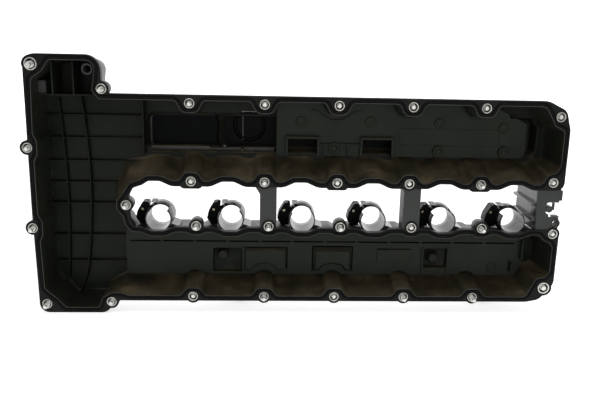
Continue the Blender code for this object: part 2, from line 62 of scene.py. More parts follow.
BOLTS = [(-185.3, 196.5, 10.0, True), (-104.2, 168.7, 10.0, False)]
BOLTS += [(PITCH * k, 153.3, p, False) for k, p in enumerate((4.0, 2.0, 0.5, 0.5, 0.5))]
BOLTS += [(458.2, 144.2, 1.0, False), (-195.7, 96.4, 5.0, False), (-195.6, -4.5, 10.0, False)]
BOLTS += [(-184.0, -104.8, 10.0, False), (-102.6, -101.6, 5.0, False)]
BOLTS += [(1.2 + PITCH * k, -93.8, p, False) for k, p in enumerate((0.5, 9.0, 0.5, 9.0, 10.0))]
BOLTS += [(459.3, -80.5, 1.0, True)]
BOLTS += [(0.5 + PITCH * k, 57.2, p, False) for k, p in enumerate((2.0, 5.0, 1.0, 0.5, 10.0))]
BOLTS += [(457.5, 60.8, 1.0, False), (-80.1, 26.1, 10.0, False)]
BOLTS += [(6.2 + PITCH * k, 0.0, p, False) for k, p in enumerate((9.0, 9.0, 9.0, 1.0, 10.0))]
BOLTS += [(463.7, -6.8, 1.0, False)]


def world(x, y, d):
    return Vector(((x - X_MID) * MM, (d - D_MID) * MM, (y - Y_FLOOR) * MM))


# ---------------------------------------------------------------- outlines
def rounded(points, seg=4):
    out = []
    n = len(points)
    for i, (x, y, r) in enumerate(points):
        ax, ay = points[i - 1][0] - x, points[i - 1][1] - y
        bx, by = points[(i + 1) % n][0] - x, points[(i + 1) % n][1] - y
        la, lb = math.hypot(ax, ay), math.hypot(bx, by)
        ax, ay, bx, by = ax / la, ay / la, bx / lb, by / lb
        half = math.acos(max(-1.0, min(1.0, ax * bx + ay * by))) / 2.0
        cut = min(r / math.tan(half), 0.48 * la, 0.48 * lb) if half < 1.56 else 0.0
        if cut < 0.05:
            out.append((x, y))
            continue
        rad = cut * math.tan(half)
        mx, my = ax + bx, ay + by
        lm = math.hypot(mx, my)
        cx, cy = x + mx / lm * rad / math.sin(half), y + my / lm * rad / math.sin(half)
        a0 = math.atan2(y + ay * cut - cy, x + ax * cut - cx)
        a1 = math.atan2(y + by * cut - cy, x + bx * cut - cx)
        da = (a1 - a0 + math.pi) % (2 * math.pi) - math.pi
        steps = max(2, min(seg + 3, int(math.ceil(rad * abs(da) / 1.9))))
        for k in range(steps + 1):
            a = a0 + da * k / steps
            out.append((cx + rad * math.cos(a), cy + rad * math.sin(a)))
    return out


def offset(outline, dist):
    out = []
    n = len(outline)
    for i, (x, y) in enumerate(outline):
        px, py = outline[i - 1]
        qx, qy = outline[(i + 1) % n]
        l1, l2 = math.hypot(x - px, y - py), math.hypot(qx - x, qy - y)
        n1 = (-(y - py) / l1, (x - px) / l1)
        n2 = (-(qy - y) / l2, (qx - x) / l2)
        k = dist / max(0.35, 1.0 + n1[0] * n2[0] + n1[1] * n2[1])
        out.append((x + (n1[0] + n2[0]) * k, y + (n1[1] + n2[1]) * k))
    return out


def line_gap(px, py, a, b):
    ex, ey = b[0] - a[0], b[1] - a[1]
    t = max(0.0, min(1.0, ((px - a[0]) * ex + (py - a[1]) * ey) / (ex * ex + ey * ey)))
    return math.hypot(px - a[0] - ex * t, py - a[1] - ey * t)


def clean_offset(outline, dist):
    keep = []
    n = len(outline)
    for x, y in offset(outline, dist):
        gap = min(line_gap(x, y, outline[i - 1], outline[i]) for i in range(n))
        if gap > dist - 0.1:
            keep.append((x, y))
    return keep


def dip(x, y_flat, y_bolt, half_out, half_in, direction):
    pts = [(x - half_out, y_flat, 6), (x - half_in, y_bolt, 10)]
    pts += [(x + half_in, y_bolt, 10), (x + half_out, y_flat, 6)]
    return pts if direction > 0 else pts[::-1]


def lip_outline():
    p = [(-186, 179, 5), (-172.5, 188.5, 9), (-164, 201.5, 5), (-111, 201.5, 12)]
    p += [(-113.5, 180, 6), (-116, 166, 7), (-108, 156.3, 6)]
    for k in range(5):
        p += dip(PITCH * k, 156.3, 141.6, 17.0, 9.5, 1)
    p += [(438, 156.3, 8), (446.5, 143, 6), (452, 132.5, 6), (464.5, 127, 6)]
    p += [(464.5, 82, 8), (459, 73.5, 4), (449.5, 71, 6), (443.5, 60, 6), (438, 58, 3)]
    for k in range(5, -1, -1):
        m = -45.0 + PITCH * k
        p += [(m + 23, 58, 14), (m + 9, 64.5, 18), (m - 9, 64.5, 18)]
        if k:
            p.append((m - 23, 58, 14))
            p += dip(0.5 + PITCH * (k - 1), 58, 69.0, 15.0, 8.5, -1)
    p += [(-62, 59, 6), (-76, 54, 9), (-84, 41, 5), (-91.8, 32, 5)]
    p += [(-91.8, 20, 5), (-84, 11, 5), (-82, 0, 8), (-74, -8.5, 6)]
    for k in range(6):
        m = WELLS[k]
        p += [(m - 22, -8.5, 12), (m - 9, -14, 16), (m + 9, -14, 16), (m + 22, -8.5, 12)]
        if k < 5:
            b = 6.2 + PITCH * k
            p += [(b - 12, -8.5, 6), (b - 6, -12, 7), (b + 6, -12, 7), (b + 12, -8.5, 6)]
    p += [(446, -8.5, 6), (452.5, -16, 5), (461, -19, 5), (464.5, -25, 4)]
    p += [(464.5, -59, 5), (459, -65, 4), (448, -67, 6), (442.5, -78, 7), (436, -92.5, 7)]
    for k in range(4, -1, -1):
        p += dip(1.2 + PITCH * k, -92.5, -81.8, 16.0, 9.0, -1)
    p += [(-80, -92.5, 6), (-90, -89, 5), (-102, -88.8, 7), (-115, -96.5, 6), (-118, -109, 5)]
    p += [(-160, -109, 5), (-170, -98, 6), (-178, -91, 6), (-185.5, -84, 5)]
    p += [(-187, -22, 5), (-183.2, -13, 4), (-183.2, 4, 4), (-188, 12, 5)]
    p += [(-188, 80, 5), (-183.6, 88, 4), (-183.6, 105, 4), (-187.8, 113, 5)]
    return rounded(p)


def rail_outline():
    p = [(-187.5, 201.5, 7), (-111, 201.5, 12), (-111, 156.3, 10), (440, 156.3, 6)]
    p += [(459, 147, 6), (464.5, 127, 8), (464.5, 58, 3)]
    for k in range(5, -1, -1):
        m = -45.0 + PITCH * k
        p += [(m + 23, 58, 14), (m + 9, 64.5, 18), (m - 9, 64.5, 18)]
        if k:
            p.append((m - 23, 58, 14))
    p += [(-62, 59, 6), (-76, 54, 12), (-83, 41, 9), (-83, 8, 10), (-74, -8.5, 10)]
    for k in range(6):
        m = WELLS[k]
        p += [(m - 22, -8.5, 12), (m - 9, -14, 16), (m + 9, -14, 16), (m + 22, -8.5, 12)]
    p += [(464.5, -8.5, 3), (464.5, -72, 8), (450, -90, 8), (436, -92.5, 6)]
    p += [(-97, -92.5, 9), (-113, -109, 6), (-186, -109, 5), (-188, 12, 5)]
    return clean_offset(rounded(p), RAIL_W)


def deep_point(x, y):
    pull = 5.0 * max(0.0, min(1.0, (x - 430.0) / 22.0))
    push = 3.0 * max(0.0, min(1.0, (-150.0 - x) / 20.0))
    if y > 125.0:
        return x - pull + push, y - 3.0
    if y < -60.0:
        lift = (9.0 if x > -95.0 else 4.0) * min(1.0, (-60.0 - y) / 25.0)
        return x - pull + push, y + lift
    if x < -150.0 or y < 5.0:
        return x - pull + push, y
    if x > 455.0:
        return x - pull, y + 6.0 * max(0.0, min(1.0, (90.0 - y) / 15.0))
    flare = 9.0 * max(0.0, min(1.0, (-58.0 - x) / 24.0))
    if y > 45.0:
        return x - pull - flare, 76.0 + (y - 58.0) * 0.6
    return x - flare, y + 18.0 * (y - 5.0) / 45.0


def mix(a, b, t):
    return [(p[0] + (q[0] - p[0]) * t, p[1] + (q[1] - p[1]) * t) for p, q in zip(a, b)]


def circle(cx, cy, r, n=32, turn=0.0):
    return [(cx + r * math.cos(turn - 2 * math.pi * k / n),
             cy + r * math.sin(turn - 2 * math.pi * k / n)) for k in range(n)]


def rect(x0, x1, y0, y1):
    return [(x0, y1), (x1, y1), (x1, y0), (x0, y0)]


def round_rect(x0, x1, y0, y1, r):
    return rounded([(x0, y1, r), (x1, y1, r), (x1, y0, r), (x0, y0, r)])


def inside(x, y, line):
    hit = False
    n = len(line)
    for i in range(n):
        x0, y0 = line[i - 1]
        x1, y1 = line[i]
        if (y0 > y) != (y1 > y) and x < (x1 - x0) * (y - y0) / (y1 - y0) + x0:
            hit = not hit
    return hit


# ------------------------------------------------------------------ meshes
def add_rings(bm, rings, cap=(False, False)):
    """Rows of equal length [(outline, depth)]; a row's depth may be a list."""
    rows = []
    for line, d in rings:
        ds = d if isinstance(d, (list, tuple)) else [d] * len(line)
        rows.append([bm.verts.new(world(x, y, e)) for (x, y), e in zip(line, ds)])
    n = len(rows[0])
    for a, b in zip(rows, rows[1:]):
        for i in range(n):
            bm.faces.new((a[i - 1], a[i], b[i], b[i - 1]))
    if cap[0]:
        bm.faces.new(rows[0])
    if cap[1]:
        bm.faces.new(rows[-1][::-1])


def add_loop(bm, rings):
    """Closed ring solid: the last row joins the first."""
    add_rings(bm, rings + rings[:1])


def add_region(bm, include, exclude, d0, d1):
    """Plate between two depths: union of include outlines less exclude ones."""
    coords, edges = [], []
    for line in include + exclude:
        start = len(coords)
        coords += [Vector(p) for p in line]
        edges += [(start + i, start + (i + 1) % len(line)) for i in range(len(line))]
    out = geometry.delaunay_2d_cdt(coords, edges, [], 0, 1e-4, True)
    pts, faces = out[0], out[2]
    boxes = [(min(p[0] for p in a), max(p[0] for p in a), min(p[1] for p in a),
              max(p[1] for p in a), a) for a in include + exclude]
    split = len(include)
    keep = []
    for f in faces:
        x = sum(pts[i][0] for i in f) / len(f)
        y = sum(pts[i][1] for i in f) / len(f)
        hits = [b[0] <= x <= b[1] and b[2] <= y <= b[3] and inside(x, y, b[4]) for b in boxes]
        if any(hits[:split]) and not any(hits[split:]):
            keep.append(f)
    count = {}
    for f in keep:
        for i in range(len(f)):
            a, b = f[i - 1], f[i]
            count[(a, b)] = True
    near = {i: bm.verts.new(world(pts[i][0], pts[i][1], d0)) for f in keep for i in f}
    far = {i: bm.verts.new(world(pts[i][0], pts[i][1], d1)) for i in near}
    for f in keep:
        bm.faces.new([near[i] for i in f])
        bm.faces.new([far[i] for i in reversed(f)])
    for a, b in list(count):
        if (b, a) not in count:
            bm.faces.new((near[b], near[a], far[a], far[b]))


def add_box(bm, x0, x1, y0, y1, d0, d1):
    line = rect(x0, x1, y0, y1)
    add_rings(bm, [(line, d0), (line, d1)], (True, True))


def add_turned(bm, cx, cy, profile, n=40):
    """Revolved solid; profile (radius, depth), radius 0 closes an end."""
    rows = []
    for r, d in profile:
        if r < 1e-6:
            rows.append([bm.verts.new(world(cx, cy, d))])
        else:
            rows.append([bm.verts.new(world(x, y, d)) for x, y in circle(cx, cy, r, n)])
    pairs = list(zip(rows, rows[1:]))
    if len(rows[0]) > 1:
        pairs.append((rows[-1], rows[0]))
    for a, b in pairs:
        for i in range(n):
            j = (i + 1) % n
            if len(a) == 1:
                bm.faces.new((a[0], b[i], b[j]))
            elif len(b) == 1:
                bm.faces.new((a[i], a[j], b[0]))
            else:
                bm.faces.new((a[i], a[j], b[j], b[i]))


def finish(bm, name, mat, body="cover", bevel=0.0, sharp=38.0, tidy=True):
    bmesh.ops.remove_doubles(bm, verts=bm.verts, dist=2e-6)
    bmesh.ops.recalc_face_normals(bm, faces=bm.faces)
    if tidy:
        bmesh.ops.dissolve_limit(bm, angle_limit=0.004, verts=bm.verts, edges=bm.edges)
    limit = math.radians(sharp)
    for e in bm.edges:
        if len(e.link_faces) == 2 and e.calc_face_angle(0.0) > limit:
            e.smooth = False
    for f in bm.faces:
        f.smooth = True
    mesh = bpy.data.meshes.new(name)
    bm.to_mesh(mesh)
    bm.free()
    mesh.materials.append(mat)
    obj = bpy.data.objects.new(name, mesh)
    bpy.context.scene.collection.objects.link(obj)
    if bevel:
        mod = obj.modifiers.new("edge", "BEVEL")
        mod.width = bevel * MM
        mod.segments = 2
        mod.limit_method = "ANGLE"
        mod.angle_limit = math.radians(35.0)
        mod.use_clamp_overlap = True
        mod.harden_normals = False
    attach(obj, body)
    return obj


# --------------------------------------------------------------- materials
def ramp(tree, source, stops):
    r = tree.nodes.new("ShaderNodeValToRGB")
    el = r.color_ramp.elements
    while len(el) < len(stops):
        el.new(0.5)
    for e, (pos, col) in zip(el, stops):
        e.position = pos
        e.color = (*col, 1.0) if len(col) == 3 else col
    tree.links.new(source, r.inputs[0])
    return r.outputs[0]


def blend_colour(tree, a, b, factor, mode="MIX"):
    m = tree.nodes.new("ShaderNodeMix")
    m.data_type = "RGBA"
    m.blend_type = mode
    for value, socket in ((a, m.inputs[6]), (b, m.inputs[7])):
        if isinstance(value, tuple):
            socket.default_value = (*value, 1.0)
        else:
            tree.links.new(value, socket)
    if isinstance(factor, float):
        m.inputs[0].default_value = factor
    else:
        tree.links.new(factor, m.inputs[0])
    return m.outputs[2]


def maths(tree, op, a, b=None, clamp=False):
    m = tree.nodes.new("ShaderNodeMath")
    m.operation = op
    m.use_clamp = clamp
    for value, socket in ((a, m.inputs[0]), (b, m.inputs[1])):
        if value is None:
            continue
        if isinstance(value, (int, float)):
            socket.default_value = float(value)
        else:
            tree.links.new(value, socket)
    return m.outputs[0]


def start_material(name):
    mat = bpy.data.materials.new(name)
    mat.use_nodes = True
    tree = mat.node_tree
    bsdf = tree.nodes["Principled BSDF"]
    coord = tree.nodes.new("ShaderNodeTexCoord")
    return mat, tree, bsdf, coord.outputs["Object"]


def noise_tex(tree, vec, scale, detail=4.0, rough=0.55, stretch=None):
    if stretch:
        m = tree.nodes.new("ShaderNodeMapping")
        m.inputs["Scale"].default_value = stretch
        tree.links.new(vec, m.inputs["Vector"])
        vec = m.outputs[0]
    n = tree.nodes.new("ShaderNodeTexNoise")
    n.inputs["Scale"].default_value = scale
    n.inputs["Detail"].default_value = detail
    n.inputs["Roughness"].default_value = rough
    tree.links.new(vec, n.inputs["Vector"])
    return n.outputs["Fac"]


def bump(tree, bsdf, height, strength, dist):
    b = tree.nodes.new("ShaderNodeBump")
    b.inputs["Strength"].default_value = strength
    b.inputs["Distance"].default_value = dist
    tree.links.new(height, b.inputs["Height"])
    tree.links.new(b.outputs[0], bsdf.inputs["Normal"])


def plastic(name, dark, light, rough=(0.34, 0.56), stain_and_top_light=0.0, specular=0.5, grain=0.25):
    """Moulded glass-filled nylon: mottled tone, fine grain, optional brown oil staining masked to
    upward-facing faces and lightened there, partly painted light from above.
    """
    mat, tree, bsdf, vec = start_material(name)
    big = noise_tex(tree, vec, 14.0, 5.0)
    mid = noise_tex(tree, vec, 70.0, 4.0)
    fine = noise_tex(tree, vec, 900.0, 3.0)
    tone = ramp(tree, maths(tree, "ADD", maths(tree, "MULTIPLY", big, 0.65),
                            maths(tree, "MULTIPLY", mid, 0.35)),
                ((0.32, dark), (0.68, light)))
    colour = tone
    if stain_and_top_light:
        geo = tree.nodes.new("ShaderNodeNewGeometry")
        sep = tree.nodes.new("ShaderNodeSeparateXYZ")
        tree.links.new(geo.outputs["Normal"], sep.inputs[0])
        # Upward-facing mask: the brown staining shows only on faces turned up and is lighter there,
        # partly painted light from above
        up = ramp(tree, sep.outputs["Z"], ((0.15, (0, 0, 0)), (0.75, (1, 1, 1))))
        blot = ramp(tree, noise_tex(tree, vec, 34.0, 6.0, 0.62, (1.0, 0.7, 1.6)),
                    ((0.28, (0.25, 0.25, 0.25)), (0.62, (1, 1, 1))))
        place = tree.nodes.new("ShaderNodeSeparateXYZ")
        tree.links.new(vec, place.inputs[0])
        cam_side = tree.nodes.new("ShaderNodeMapRange")
        cam_side.inputs["From Min"].default_value = -0.262
        cam_side.inputs["From Max"].default_value = -0.225
        tree.links.new(place.outputs["X"], cam_side.inputs["Value"])
        up = maths(tree, "MULTIPLY", up, cam_side.outputs[0])
        amount = maths(tree, "MULTIPLY", maths(tree, "MULTIPLY", up, blot), stain_and_top_light, True)
        # Staining tones run from dark to light brown; the light tones on upward faces are painted
        # highlights over the real oil residue
        residue_and_top_light_tone = ramp(tree, noise_tex(tree, vec, 22.0, 5.0, 0.6),
                   ((0.30, (0.030, 0.024, 0.013)), (0.50, (0.085, 0.068, 0.040)),
                    (0.70, (0.170, 0.135, 0.085))))
        colour = blend_colour(tree, tone, residue_and_top_light_tone, amount)
        # Small lighter brown specks inside the same upward-facing mask, partly painted highlight
        bits = ramp(tree, noise_tex(tree, vec, 150.0, 2.0), ((0.66, (0, 0, 0)), (0.72, (1, 1, 1))))
        colour = blend_colour(tree, colour, (0.11, 0.09, 0.065),
                              maths(tree, "MULTIPLY", maths(tree, "MULTIPLY", bits, amount), 0.5))
    tree.links.new(colour, bsdf.inputs["Base Color"])
    r = tree.nodes.new("ShaderNodeMapRange")
    r.inputs["To Min"].default_value = rough[0]
    r.inputs["To Max"].default_value = rough[1]
    r.inputs["From Min"].default_value = 0.3
    r.inputs["From Max"].default_value = 0.7
    tree.links.new(mid, r.inputs["Value"])
    tree.links.new(r.outputs[0], bsdf.inputs["Roughness"])
    bsdf.inputs["Specular IOR Level"].default_value = specular
    bump(tree, bsdf, maths(tree, "ADD", fine, maths(tree, "MULTIPLY", mid, 0.5)), grain, 0.00018)
    return mat


def metal(name, low, high, rough=(0.28, 0.5), scratch=0.2, tarnish=None):
    """Plated or machined metal with turning marks and mottling."""
    mat, tree, bsdf, vec = start_material(name)
    big = noise_tex(tree, vec, 160.0, 5.0)
    fine = noise_tex(tree, vec, 1600.0, 3.0, 0.6, (1.0, 0.25, 1.0))
    colour = ramp(tree, big, ((0.3, low), (0.68, high)))
    if tarnish:
        spot = ramp(tree, noise_tex(tree, vec, 420.0, 4.0), ((0.56, (0, 0, 0)), (0.72, (1, 1, 1))))
        colour = blend_colour(tree, colour, tarnish, spot)
    tree.links.new(colour, bsdf.inputs["Base Color"])
    bsdf.inputs["Metallic"].default_value = 1.0
    r = tree.nodes.new("ShaderNodeMapRange")
    r.inputs["To Min"].default_value = rough[0]
    r.inputs["To Max"].default_value = rough[1]
    tree.links.new(fine, r.inputs["Value"])
    tree.links.new(r.outputs[0], bsdf.inputs["Roughness"])
    bump(tree, bsdf, fine, scratch, 0.00008)
    return mat


def rubber(name):
    mat, tree, bsdf, vec = start_material(name)
    dust = noise_tex(tree, vec, 60.0, 5.0)
    tree.links.new(ramp(tree, dust, ((0.35, (0.002, 0.002, 0.002)), (0.75, (0.005, 0.005, 0.005)))),
                   bsdf.inputs["Base Color"])
    bsdf.inputs["Roughness"].default_value = 0.62
    bsdf.inputs["Specular IOR Level"].default_value = 0.12
    bump(tree, bsdf, noise_tex(tree, vec, 1200.0, 2.0), 0.2, 0.0001)
    return mat


M_RAIL = plastic("rail_nylon", (0.004, 0.005, 0.004), (0.009, 0.011, 0.009), (0.40, 0.55), 0.1, 0.14)
# Lighter copy of the nylon for the lip bead: a painted highlight along the bead's rounded edge, on top
# of the highlight its smooth profile catches
M_LIP_HIGHLIGHT = plastic("lip_highlight_nylon", (0.020, 0.023, 0.019), (0.040, 0.044, 0.037), (0.30, 0.42), 0.2, 0.4)
M_WALL = plastic("wall_nylon", (0.008, 0.010, 0.006), (0.018, 0.020, 0.014), (0.26, 0.50), 1.0, 0.5)
M_CASE = plastic("case_nylon", (0.003, 0.005, 0.002), (0.011, 0.014, 0.009), (0.26, 0.48), 0.3, 0.12)
M_BAFFLE = plastic("baffle_nylon", (0.009, 0.012, 0.007), (0.017, 0.021, 0.014), (0.40, 0.55), 0.5,
                   0.16)
# Near-black copy of the nylon with painted shade, for the pocket floor, the coil ears and the cap plug
# that sit in shadow
M_SHADE_NYLON = plastic("painted_shade_nylon", (0.001, 0.002, 0.002), (0.004, 0.005, 0.004), (0.32, 0.5), 0.0, 0.05)
M_BRIDGE = plastic("bridge_nylon", (0.030, 0.034, 0.031), (0.042, 0.046, 0.043), (0.42, 0.52), 0.1,
                   0.3)
M_OUT = plastic("outer_nylon", (0.007, 0.008, 0.007), (0.014, 0.015, 0.014), (0.34, 0.5), 0.0)
M_WELL = plastic("well_nylon", (0.012, 0.013, 0.013), (0.024, 0.025, 0.025), (0.16, 0.26), 0.0, 0.5,
                 0.1)
M_CAP = plastic("cap_nylon", (0.005, 0.006, 0.007), (0.010, 0.011, 0.012), (0.3, 0.45), 0.0, 0.3)
M_TRIM = plastic("trim_nylon", (0.012, 0.013, 0.013), (0.022, 0.023, 0.023), (0.36, 0.5), 0.0)
M_CLIP = plastic("clip_nylon", (0.012, 0.017, 0.018), (0.026, 0.034, 0.036), (0.3, 0.45), 0.0)
M_RUBBER = rubber("gasket_rubber")
M_STEEL = metal("sleeve_steel", (0.72, 0.71, 0.66), (0.92, 0.91, 0.86), (0.30, 0.45), 0.2,
                (0.46, 0.41, 0.33))
M_ZINC = metal("zinc_bolt", (0.66, 0.66, 0.63), (0.93, 0.92, 0.88), (0.30, 0.48), 0.3,
               (0.38, 0.34, 0.28))
M_BRASS = metal("insert_brass", (0.80, 0.72, 0.52), (0.95, 0.88, 0.70), (0.25, 0.4), 0.2)

LIP = lip_outline()
DEEP = [deep_point(x, y) for x, y in LIP]
RAIL = rail_outline()
POCKET = round_rect(-61, 449, 87, 135, 10)
DISCS = [circle(x, y, LARGE_DISC_R if large else DISC_R, 36) for x, y, _, large in BOLTS]
HOLES = [circle(x, y, 8.1 if large else 6.55, 32) for x, y, _, large in BOLTS]


def wall_at(d, out=0.0):
    line = mix(LIP, DEEP, max(0.0, min(1.0, d / FLOOR_D)))
    return offset(line, out) if out else line


# ------------------------------------------------------------ shell pieces
def lugs():
    out = []
    for k in (0, 2, 4):
        x = 0.5 + PITCH * k
        out.append(rounded([(x - 13, 54, 0), (x + 13, 54, 0), (x + 13, 49, 2), (x + 9.4, 47.4, 2),
                            (x - 9.4, 47.4, 2), (x - 13, 49, 2)]))
    return out


def build_rail():
    """Sealing rail with groove, lands and the bolt bosses."""
    bm = bmesh.new()
    groove_out = offset(LIP, 5.3)
    add_region(bm, [RAIL], [groove_out] + HOLES, 0.0, 3.0)
    add_region(bm, DISCS, [groove_out, RAIL] + HOLES, 0.4, 3.0)
    add_region(bm, [RAIL] + DISCS + lugs(), [LIP] + HOLES, 3.0, RAIL_D)
    rail = finish(bm, "sealing_rail", M_RAIL, bevel=0.45)
    bm = bmesh.new()
    for x, y, _, large in BOLTS:
        r = LARGE_DISC_R if large else DISC_R
        b = 8.1 if large else 6.55
        add_turned(bm, x, y, [(b, RAIL_D), (r, RAIL_D), (r - 0.6, BOSS_D - 0.8),
                              (r - 1.4, BOSS_D), (b, BOSS_D)], 36)
    finish(bm, "bolt_bosses", M_OUT, bevel=0.0)
    bm = bmesh.new()
    bead = [(1.3, 3.0), (1.3, 0.5), (1.05, 0.02), (0.65, -0.1), (0.2, 0.1), (0.0, 0.7), (0.0, 3.0)]
    add_loop(bm, [(offset(LIP, o) if o else LIP, d) for o, d in bead])
    # The bead's lighter material is a painted highlight
    finish(bm, "lip_bead", M_LIP_HIGHLIGHT, sharp=60.0, tidy=False)
    return rail


def build_walls():
    """Tapered inner walls with a rolled foot, outer skin and floors."""
    bm = bmesh.new()
    rows = [(wall_at(d), d) for d in (0.7, 3.0, 12.0, 24.0, 36.0, 46.0)]
    rows += [(offset(wall_at(50.0), -0.7), 50.0), (offset(wall_at(FLOOR_D), -2.4), FLOOR_D)]
    add_rings(bm, rows)
    finish(bm, "inner_walls", M_WALL, sharp=80.0, tidy=False)
    bm = bmesh.new()
    rows = [(wall_at(d, WALL_T), d) for d in (RAIL_D - 1.0, 20.0, 36.0, 50.0)]
    rows += [(wall_at(FLOOR_D, WALL_T - 0.3), 53.6), (wall_at(FLOOR_D, WALL_T - 1.6), 55.0)]
    add_rings(bm, rows)
    finish(bm, "outer_walls", M_OUT, sharp=60.0, tidy=False)
    bm = bmesh.new()
    hole = circle(FILLER[0], FILLER[1], 22.0, 48)
    add_region(bm, [offset(DEEP, 1.2)], [offset(POCKET, 1.0), hole], FLOOR_D - 0.02, 54.98)
    finish(bm, "bay_floor", M_CASE)
    bm = bmesh.new()
    add_rings(bm, [(offset(POCKET, 1.5), 51.0), (offset(POCKET, 0.4), 51.9), (POCKET, 53.5),
                   (offset(POCKET, -0.6), 69.0), (offset(POCKET, -2.0), 72.2),
                   (offset(POCKET, -4.0), DEEP_D)])
    finish(bm, "pocket_walls", M_WALL, sharp=80.0, tidy=False)
    bm = bmesh.new()
    add_region(bm, [POCKET], [hole], DEEP_D, 75.9)
    # Pocket floor in the near-black material: painted shade
    finish(bm, "pocket_floor", M_SHADE_NYLON)
    bm = bmesh.new()
    add_rings(bm, [(offset(POCKET, WALL_T), 54.0), (offset(POCKET, WALL_T), 74.0),
                   (offset(POCKET, WALL_T - 0.5), 75.4), (offset(POCKET, WALL_T - 1.8), 76.0),
                   (offset(POCKET, -1.0), 76.0)])
    finish(bm, "upper_roof", M_OUT, sharp=60.0, tidy=False)
    bm = bmesh.new()
    add_turned(bm, FILLER[0], FILLER[1], [(22.0, 73.0), (26.0, 75.0), (26.0, 86.6), (25.4, 87.7),
                                          (24.4, 88.0), (22.6, 88.0), (22.0, 87.4)], 64)
    finish(bm, "filler_neck", M_OUT)


def build_case_ribs():
    """Chain bay: stiffening ribs, pocket walls, pin boss and the divider."""
    bm = bmesh.new()
    left = [(-168.0 + 5.0 * math.sin(math.pi * k / 14.0), 152.0 - 17.0 * k) for k in range(15)]
    right = [(-140.0 + 7.0 * math.sin(math.pi * k / 14.0), 158.0 - 15.5 * k) for k in range(15)]
    right += [(-141.5, -70.0), (-144.5, -82.0), (-148.5, -93.0), (-153.0, -103.0)]
    for line, top in ((left, 45.0), (right, 43.5)):
        near = [(x - 0.8, y) for x, y in line] + [(x + 0.8, y) for x, y in reversed(line)]
        far = [(x - 1.7, y) for x, y in line] + [(x + 1.7, y) for x, y in reversed(line)]
        add_rings(bm, [(near, top), (far, 52.5)])
        n = len(line)
        row = [bm.verts.new(world(x, y, top)) for x, y in near]
        for k in range(n - 1):
            bm.faces.new((row[k], row[k + 1], row[2 * n - 2 - k], row[2 * n - 1 - k]))
    for y, x1 in ((132, -63), (103, -63), (73, -63), (45, -100), (17, -100), (-26, -88), (-62, -88)):
        near, far = rect(-186.0, x1, y - 0.7, y + 0.7), rect(-186.0, x1, y - 1.5, y + 1.5)
        add_rings(bm, [(near, 46.5), (far, 52.5)], (True, True))
    add_box(bm, -186.5, -111.0, 158.0, 160.2, 19.0, 52.5)
    add_box(bm, -166.0, -163.8, 159.5, 199.5, 12.0, 52.5)
    add_box(bm, -142.0, -139.8, 159.5, 199.5, 16.0, 52.5)
    finish(bm, "case_ribs", M_CASE, bevel=0.3)
    bm = bmesh.new()
    line = round_rect(-188.0, -175.5, 158.0, 176.0, 1.5)
    add_rings(bm, [(offset(line, -0.8), 23.0), (line, 23.8), (line, 52.5)], (True, True))
    finish(bm, "case_block", M_BRIDGE)
    bm = bmesh.new()
    add_turned(bm, -120.5, 191.5, [(4.6, 30.0), (4.6, 3.6), (5.0, 3.0), (6.3, 3.0), (6.8, 3.6),
                                   (6.8, 52.5), (4.6, 52.5)], 32)
    finish(bm, "pin_boss", M_BRIDGE)
    bm = bmesh.new()
    add_box(bm, -63.2, -61.2, 84.0, 152.5, 36.0, 53.0)
    finish(bm, "bay_divider", M_CASE, bevel=0.3)


def build_upper_details():
    """Upper bay's left part: curved step and ledge above the tappet wall."""
    bm = bmesh.new()
    step = [(26, 134), (29, 127), (30, 118), (29, 108), (29, 100), (31, 94), (34, 90)]
    near = step + [(x + 1.6, y) for x, y in reversed(step)]
    far = step + [(x + 9.0, y) for x, y in reversed(step)]
    add_rings(bm, [(near, 64.0), (far, 73.2)])
    ledge = rounded([(-58, 92.5, 1), (18, 92.5, 1), (22, 90.5, 2), (60, 91.5, 1), (104, 91.5, 1),
                     (104, 86.5, 0), (-58, 86.5, 0)])
    add_rings(bm, [(offset(ledge, -0.5), 60.0), (ledge, 60.7), (ledge, 73.2)], (True, False))
    add_turned(bm, 39.0, 93.0, [(0, 56.5), (1.8, 56.5), (2.6, 57.2), (3.0, 73.0), (0, 73.0)], 20)
    add_turned(bm, 62.0, 89.0, [(0, 50.0), (1.6, 50.0), (2.0, 50.5), (2.2, 60.0), (0, 60.0)], 20)
    finish(bm, "bay_steps", M_WALL)


def build_bridges():
    bm = bmesh.new()
    for x0, x1, cut in ((86.0, 107.0, 7.0), (267.5, 289.0, 4.0)):
        line = rounded([(x0 - cut, 53.0, 0), (x1, 53.0, 0), (x1, -3.0, 0), (x0, -3.0, 0),
                        (x0, 53.0 - cut * 1.6, 3)])
        access = [circle(x, y, 9.0, 32) for x, y, _, _ in BOLTS]
        add_region(bm, [line], HOLES + [RAIL], 1.2, RAIL_D)
        add_region(bm, [rect(x0, x1, -6.0, 58.0)], HOLES, RAIL_D, BOSS_D)
        add_region(bm, [rect(x0, x1, -6.0, 62.0)], access, BOSS_D, 26.0)
    finish(bm, "bridges", M_BRIDGE, bevel=0.5)


